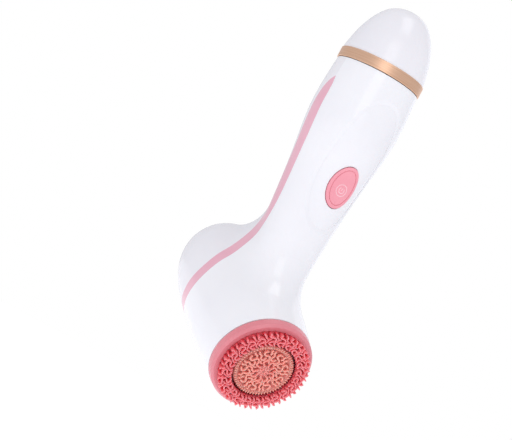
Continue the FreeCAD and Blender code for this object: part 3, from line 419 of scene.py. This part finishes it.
def meshFrom(bm, name):
    bmesh.ops.recalc_face_normals(bm, faces=bm.faces[:])
    mesh = bpy.data.meshes.new(name)
    bm.to_mesh(mesh)
    bm.free()
    mesh.polygons.foreach_set("use_smooth", [True] * len(mesh.polygons))
    piece = bpy.data.objects.new(name, mesh)
    bpy.context.scene.collection.objects.link(piece)
    return piece


def ringRepeatTree():
    # Geometry Nodes: repeats the object's own mesh around its z axis, each copy turned and
    # scaled a little at random, then joins the copies and sets their material
    tree = bpy.data.node_groups.new("ringRepeat", "GeometryNodeTree")
    face = tree.interface
    face.new_socket("Geometry", in_out="INPUT", socket_type="NodeSocketGeometry")
    face.new_socket("Count", in_out="INPUT", socket_type="NodeSocketInt")
    face.new_socket("Twist Spread", in_out="INPUT", socket_type="NodeSocketFloat")
    face.new_socket("Size Spread", in_out="INPUT", socket_type="NodeSocketFloat")
    face.new_socket("Seed", in_out="INPUT", socket_type="NodeSocketInt")
    face.new_socket("Material", in_out="INPUT", socket_type="NodeSocketMaterial")
    face.new_socket("Geometry", in_out="OUTPUT", socket_type="NodeSocketGeometry")
    entry = addNode(tree, "NodeGroupInput")
    last = addNode(tree, "NodeGroupOutput")
    places = addNode(tree, "GeometryNodeMeshLine", {"mode": "OFFSET"},
                     {"Count": (entry, "Count"), "Offset": (0.0, 0.0, 0.0)})
    index = addNode(tree, "GeometryNodeInputIndex")
    share = addNode(tree, "ShaderNodeMath", {"operation": "DIVIDE"})
    tree.links.new(index.outputs["Index"], share.inputs[0])
    tree.links.new(entry.outputs["Count"], share.inputs[1])
    turn = addNode(tree, "ShaderNodeMath", {"operation": "MULTIPLY"})
    tree.links.new(share.outputs[0], turn.inputs[0])
    turn.inputs[1].default_value = 2 * math.pi
    minus = addNode(tree, "ShaderNodeMath", {"operation": "MULTIPLY"})
    tree.links.new(entry.outputs["Twist Spread"], minus.inputs[0])
    minus.inputs[1].default_value = -1.0
    jitter = addNode(tree, "FunctionNodeRandomValue", {"data_type": "FLOAT"})
    tree.links.new(minus.outputs[0], jitter.inputs[2])
    tree.links.new(entry.outputs["Twist Spread"], jitter.inputs[3])
    tree.links.new(entry.outputs["Seed"], jitter.inputs["Seed"])
    angle = addNode(tree, "ShaderNodeMath", {"operation": "ADD"})
    tree.links.new(turn.outputs[0], angle.inputs[0])
    tree.links.new(jitter.outputs[1], angle.inputs[1])
    spin = addNode(tree, "ShaderNodeCombineXYZ", None, {"Z": (angle, "Value")})
    low = addNode(tree, "ShaderNodeMath", {"operation": "SUBTRACT"})
    low.inputs[0].default_value = 1.0
    tree.links.new(entry.outputs["Size Spread"], low.inputs[1])
    size = addNode(tree, "FunctionNodeRandomValue", {"data_type": "FLOAT"})
    tree.links.new(low.outputs[0], size.inputs[2])
    size.inputs[3].default_value = 1.0
    tree.links.new(entry.outputs["Seed"], size.inputs["Seed"])
    tall = addNode(tree, "ShaderNodeCombineXYZ", None, {"X": 1.0, "Y": 1.0, "Z": (size, 1)})
    copies = addNode(tree, "GeometryNodeInstanceOnPoints", None,
                     {"Points": (places, "Mesh"), "Instance": (entry, "Geometry"),
                      "Rotation": (spin, "Vector"), "Scale": (tall, "Vector")})
    whole = addNode(tree, "GeometryNodeRealizeInstances", None, {"Geometry": (copies, "Instances")})
    painted = addNode(tree, "GeometryNodeSetMaterial", None,
                      {"Geometry": (whole, "Geometry"), "Material": (entry, "Material")})
    tree.links.new(painted.outputs["Geometry"], last.inputs[0])
    return tree


ringRepeat = ringRepeatTree()


def repeated(piece, count, twist, spread, seed, material):
    modifier = piece.modifiers.new("repeat", "NODES")
    modifier.node_group = ringRepeat
    values = {"Count": count, "Twist Spread": twist, "Size Spread": spread, "Seed": seed,
              "Material": material}
    for item in ringRepeat.interface.items_tree:
        if item.in_out == "INPUT" and item.name in values:
            modifier[item.identifier] = values[item.name]
    bpy.context.view_layer.update()
    evaluated = piece.evaluated_get(bpy.context.evaluated_depsgraph_get())
    mesh = bpy.data.meshes.new_from_object(evaluated)
    mesh.name = piece.name
    piece.modifiers.clear()
    piece.data = mesh
    return piece


def joined(name, pieces, lift):
    # one mesh in the head's frame, lifted along the axis, then put where the head is
    bm = bmesh.new()
    for piece in pieces:
        bm.from_mesh(piece.data)
    for piece in pieces:
        bpy.data.objects.remove(piece)
    bmesh.ops.transform(bm, matrix=headPlace @ Matrix.Translation((0, 0, lift)), verts=bm.verts[:])
    return meshFrom(bm, name)


def polarPath(points, count, steps=3):
    # points are (radius, share of one repeat's width), so that the same shape fills every sector
    flat = []
    for radius, share in points:
        angle = 2 * math.pi * share / count
        flat.append(Vector((radius * math.cos(angle), radius * math.sin(angle))))
    return smoothPath(flat, steps)


outerRing = {
    "count": 24,          # repeats around the ring
    "twist": 0.010,       # radians of unevenness
    "sizeSpread": 0.04,
    "seed": 7,
    "finFoot": 0.94,      # millimetres
    "finCrest": 0.78,
    "splay": 1.7,         # how far the crests at the rim lean out
    "bedHeight": 2.5,     # web of silicone that joins the fins
}


def lathed(bm, outline, segments, riseValues):
    # turns a closed (radius, height) outline, in millimetres, about z
    # riseValues place each outline point on the material's ramp from painted shade to painted highlight
    rise = layer(bm, "rise")
    reach = layer(bm, "reach")
    full = max(radius for radius, height in outline)
    rings = []
    for i in range(segments):
        angle = 2 * math.pi * i / segments
        ring = []
        for (radius, height), value in zip(outline, riseValues):
            across, up = radius * math.cos(angle), radius * math.sin(angle)
            vertex = bm.verts.new((across * mm, up * mm, height * mm))
            vertex[rise] = value
            vertex[reach] = radius / full
            ring.append(vertex)
        rings.append(ring)
    for i in range(segments):
        a, b = rings[i], rings[(i + 1) % segments]
        for j in range(len(outline)):
            k = (j + 1) % len(outline)
            bm.faces.new((a[j], b[j], b[k], a[k]))


def outerBristles():
    floor, tips = alongHead("brush_ring_bristles")
    height = (tips - floor) / mm
    reach = aroundHead("brush_ring_bristles") / mm
    lip = min(point.xy.length for point in inHead("brush_ring_base") if point.z > floor + 0.5 * mm) / mm
    mat = bmesh.new()
    inner, rim, bed = 14.65, lip - 0.05, outerRing["bedHeight"]
    # a soft bed between the fins: a low wall round its inner edge, sloping away to the band's lip
    # the rise values paint the bed low between the fins as painted shade and its inner wall paler as a
    # painted highlight
    lathed(mat, [(inner, 0.02), (rim, 0.02), (rim, 0.7), (rim - 0.25, 0.85), (rim - 1.7, bed),
                 (inner + 0.8, bed), (inner + 0.45, bed + 0.3), (inner + 0.38, 3.1), (inner + 0.2, 3.3),
                 (inner, 3.1)], 120, [0.1, 0.1, 0.3, 0.3, 0.2, 0.15, 0.2, 0.4, 0.45, 0.4])
    pieces = [meshFrom(mat, "mat")]
    pieces[0].data.materials.append(materials["outerSilicone"])
    plans = {
        "bigCurl": ([(15.0, -0.06), (15.35, 0.20), (16.1, 0.31), (16.6, 0.12), (16.65, -0.15),
                     (17.15, -0.33),
                     (17.9, -0.28), (18.25, -0.07), (18.3, 0.15), (18.85, 0.25), (19.55, 0.16)], 1.0),
        "rimCurl": ([(18.0, 0.50), (18.55, 0.61), (19.1, 0.58), (19.55, 0.68)], 0.97),
        "hook": ([(15.05, 0.60), (15.7, 0.70), (16.35, 0.62), (16.8, 0.45),
                  (17.4, 0.36), (17.6, 0.17)], 0.97),
    }
    count = outerRing["count"]
    for seed, (name, (plan, share)) in enumerate(plans.items()):
        bm = bmesh.new()
        finMesh(bm, polarPath(plan, count), {
            "foot": outerRing["finFoot"], "crest": outerRing["finCrest"], "height": height * share,
            "slope": -0.05, "lean": outerRing["splay"], "leanFrom": inner + 0.4, "full": reach})
        pieces.append(repeated(meshFrom(bm, name), count, outerRing["twist"],
                               outerRing["sizeSpread"], outerRing["seed"] + seed,
                               materials["outerSilicone"]))
    whole = joined("outer_bristles", pieces, floor)
    whole.data.materials.append(materials["outerSilicone"])
    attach(whole, "brush_ring")
    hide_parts("brush_ring_bristles")
    print("outer bristles:", len(whole.data.polygons), "faces")


innerDisc = {
    "arms": 9,
    "rimBristles": 62,
    "twist": 0.014,
    "sizeSpread": 0.03,
    "seed": 3,
    "finFoot": 1.04,      # millimetres
    "finCrest": 0.86,
}


def innerBristles():
    floor, tips = alongHead("brush_disc_bristles")
    height = (tips - floor) / mm
    reach = aroundHead("brush_disc_bristles") / mm
    mat = bmesh.new()
    # the rise values paint the bed low as painted shade and its raised rim paler as a painted highlight
    lathed(mat, [(0.01, 0.0), (reach, 0.0), (reach, 1.2), (reach - 0.3, 1.5), (reach - 1.6, 1.5),
                 (reach - 2.1, 0.9), (0.01, 0.9)], 96, [0, 0.1, 0.4, 0.5, 0.5, 0.15, 0.15])
    pieces = [meshFrom(mat, "mat")]
    arms = innerDisc["arms"]
    plans = {
        "arm": ([(2.7, 0.02), (3.6, 0.24), (4.8, 0.28), (5.6, 0.10), (5.9, -0.14), (6.9, -0.27),
                 (8.0, -0.22),
                 (8.4, -0.02), (8.7, 0.14), (9.6, 0.22), (10.5, 0.15), (10.8, 0.0)], arms, 1.0),
        "curl": ([(7.3, 0.10), (6.7, 0.20), (6.3, 0.36), (6.7, 0.52), (7.6, 0.56), (8.5, 0.47),
                  (9.4, 0.47),
                  (10.2, 0.56), (11.1, 0.52)], arms, 0.98),
        "rimFill": ([(9.2, 0.76), (10.0, 0.72), (10.8, 0.79), (11.3, 0.74)], arms, 0.95),
        "bud": ([(4.7, 0.60), (5.4, 0.66), (6.0, 0.60)], arms, 0.95),
        "petal": ([(1.0, 0.0), (1.7, 0.22), (2.2, 0.05)], 8, 1.0),
    }
    for seed, (name, (plan, count, share)) in enumerate(plans.items()):
        bm = bmesh.new()
        finMesh(bm, polarPath(plan, count), {
            "foot": innerDisc["finFoot"], "crest": innerDisc["finCrest"], "height": height * share,
            "full": reach})
        pieces.append(repeated(meshFrom(bm, name), count, innerDisc["twist"], innerDisc["sizeSpread"],
                               innerDisc["seed"] + seed, materials["innerSilicone"]))
    bm = bmesh.new()
    finMesh(bm, [Vector((12.2, 0)), Vector((12.6, 0.03)), Vector((13.0, 0))], {
        "foot": 0.72, "crest": 0.56, "height": height * 0.92, "lean": 0.3, "full": reach})
    pieces.append(repeated(meshFrom(bm, "rim"), innerDisc["rimBristles"], 0.01, 0.06,
                           innerDisc["seed"] + 9,
                           materials["innerSilicone"]))
    whole = joined("inner_bristles", pieces, floor)
    whole.data.materials.append(materials["innerSilicone"])
    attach(whole, "brush_disc")
    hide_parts("brush_disc_bristles")
    print("inner bristles:", len(whole.data.polygons), "faces")


outerBristles()
innerBristles()


buttonMark = {
    "ringRadius": 2.7,    # millimetres
    "innerRadius": 1.35,
    "lineWidth": 0.3,
    "gapDegrees": 76,
    "barLength": 1.5,
    "proud": 0.06,
    "drop": 1.3,          # below the button's middle
}


def ontoButton(surface, x, z):
    # the point of the button's face in front of (x, z), in metres
    hit = surface.ray_cast(Vector((x, -0.05, z)), Vector((0, 1, 0)))
    return hit[0]


def addStroke(bm, surface, path, width):
    # a thin raised ribbon that follows the button's face
    lift = buttonMark["proud"] * mm
    rows = []
    for i, (x, z) in enumerate(path):
        a, b = path[max(i - 1, 0)], path[min(i + 1, len(path) - 1)]
        ahead = Vector((b[0] - a[0], b[1] - a[1])).normalized()
        side = Vector((-ahead.y, ahead.x)) * width / 2
        row = []
        for share, proud in ((-1.0, -0.5), (-0.8, 1.0), (0.8, 1.0), (1.0, -0.5)):
            px, pz = (x + side.x * share) * mm, (z + side.y * share) * mm
            point = ontoButton(surface, px, pz)
            row.append(bm.verts.new((px, point.y - lift * proud, pz)))
        rows.append(row)
    for a, b in zip(rows, rows[1:]):
        for j in range(4):
            k = (j + 1) % 4
            bm.faces.new((a[j], a[k], b[k], b[j]))
    bm.faces.new(rows[0])
    bm.faces.new(list(reversed(rows[-1])))


def powerMark():
    low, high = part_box("button")
    level = (low.z + high.z) / 2 / mm - buttonMark["drop"]
    surface = BVHTree.FromObject(nodes["button"], bpy.context.evaluated_depsgraph_get())
    bm = bmesh.new()
    width = buttonMark["lineWidth"]
    gap = math.radians(buttonMark["gapDegrees"]) / 2
    for radius, missing in ((buttonMark["ringRadius"], 0.0), (buttonMark["innerRadius"], gap)):
        steps = 48
        arc = []
        for i in range(steps + 1):
            angle = math.pi / 2 + missing + (2 * math.pi - 2 * missing) * i / steps
            arc.append((radius * math.cos(angle), level + radius * math.sin(angle)))
        addStroke(bm, surface, arc, width)
    top = level + buttonMark["innerRadius"] * 1.1
    addStroke(bm, surface, [(0, top - buttonMark["barLength"] * i / 6) for i in range(7)], width)
    mark = meshFrom(bm, "power_mark")
    mark.data.materials.append(materials["markPink"])
    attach(mark, "button")


powerMark()
print("button mark made")


studio = {
    "floorDrop": 0.09,        # floor below the object's lowest point, metres
    "floorColour": "F2F2F5",
    "floorFleck": "F6F6F9",   # the paper's paler grain
    "floorGlow": 0.36,
    "backColour": "FFFFFF",   # what the camera sees behind the floor
    "airColour": "EFEFF3",    # what lights the object from all round
    "airStrength": 0.84,
    "aim": (0, 0.008, -0.07),  # what the lights point at, metres
}
lights = {
    "key": {"place": (-0.55, -0.95, 0.45), "size": (0.55, 0.9), "power": 1.7, "colour": "FFFFFF"},
    "fill": {"place": (-0.1, -0.3, 1.2), "size": (0.5, 0.8), "power": 2.2, "colour": "FFFDFB"},
    "side": {"place": (0.8, 0.5, 0.3), "size": (0.6, 0.8), "power": 0.6, "colour": "F4F6FF"},
}
view = {
    "target": (-0.01076, 0.01664, -0.08551),
    "distance": 0.96189,
    "azimuth": -32.29,
    "elevation": -4.55,
    "roll": -28.29,
    "lens": 148.05,
}


def facing(direction):
    # a camera and a light look along their own -Z; this turns it to a direction
    return direction.to_track_quat("-Z", "Y").to_matrix()


def makeCamera():
    data = bpy.data.cameras.new("camera")
    data.lens = view["lens"]
    data.sensor_width = 36
    data.clip_start = 0.01
    camera = bpy.data.objects.new("camera", data)
    bpy.context.scene.collection.objects.link(camera)
    azimuth, elevation = math.radians(view["azimuth"]), math.radians(view["elevation"])
    away = Vector((math.sin(azimuth) * math.cos(elevation), -math.cos(azimuth) * math.cos(elevation),
                   math.sin(elevation)))
    target = Vector(view["target"])
    turn = facing(-away) @ Matrix.Rotation(math.radians(-view["roll"]), 3, "Z")
    camera.matrix_world = Matrix.Translation(target + away * view["distance"]) @ turn.to_4x4()
    bpy.context.scene.camera = camera


def addLight(name, place, target, size, power, colour):
    data = bpy.data.lights.new(name, "AREA")
    data.shape = "RECTANGLE"
    data.size, data.size_y = size
    data.energy = power
    data.color = linear(colour)[:3]
    light = bpy.data.objects.new(name, data)
    bpy.context.scene.collection.objects.link(light)
    place = Vector(place)
    light.matrix_world = Matrix.Translation(place) @ facing(Vector(target) - place).to_4x4()


def makeFloor(level):
    bm = bmesh.new()
    span, parts = 6.0, 24
    bmesh.ops.create_grid(bm, x_segments=parts, y_segments=parts, size=span)
    bmesh.ops.translate(bm, verts=bm.verts[:], vec=(0, 0, level))
    floor = meshFrom(bm, "floor")
    material, tree, shader, coords = newMaterial("matt white studio paper")
    grain = addNode(tree, "ShaderNodeTexNoise", None, {"Vector": (coords, "Object"), "Scale": 40.0})
    tone = addNode(tree, "ShaderNodeValToRGB", None, {"Fac": (grain, "Fac")},
                   [(0.3, studio["floorColour"]), (0.7, studio["floorFleck"])])
    tree.links.new(tone.outputs["Color"], shader.inputs["Base Color"])
    shader.inputs["Roughness"].default_value = 0.95
    shader.inputs["Emission Color"].default_value = linear(studio["backColour"])
    shader.inputs["Emission Strength"].default_value = studio["floorGlow"]
    floor.data.materials.append(material)


def makeSky():
    # the camera sees a white backdrop; the object is lit by a softer, greyer room
    world = bpy.data.worlds.new("studio")
    bpy.context.scene.world = world
    world.use_nodes = True
    tree = world.node_tree
    tree.nodes.clear()
    output = addNode(tree, "ShaderNodeOutputWorld")
    air = addNode(tree, "ShaderNodeBackground", None,
                  {"Color": linear(studio["airColour"]), "Strength": studio["airStrength"]})
    back = addNode(tree, "ShaderNodeBackground", None, {"Color": linear(studio["backColour"]),
                                                           "Strength": 1.0})
    rays = addNode(tree, "ShaderNodeLightPath")
    pick = addNode(tree, "ShaderNodeMixShader", None, {"Fac": (rays, "Is Camera Ray")})
    tree.links.new(air.outputs["Background"], pick.inputs[1])
    tree.links.new(back.outputs["Background"], pick.inputs[2])
    tree.links.new(pick.outputs["Shader"], output.inputs["Surface"])


lowest = cadBox[0][2]
makeCamera()
makeFloor(lowest - studio["floorDrop"])
makeSky()
for name, lamp in lights.items():
    addLight(name, lamp["place"], studio["aim"], lamp["size"], lamp["power"], lamp["colour"])
bpy.context.scene.view_settings.view_transform = "Standard"
print("studio set")
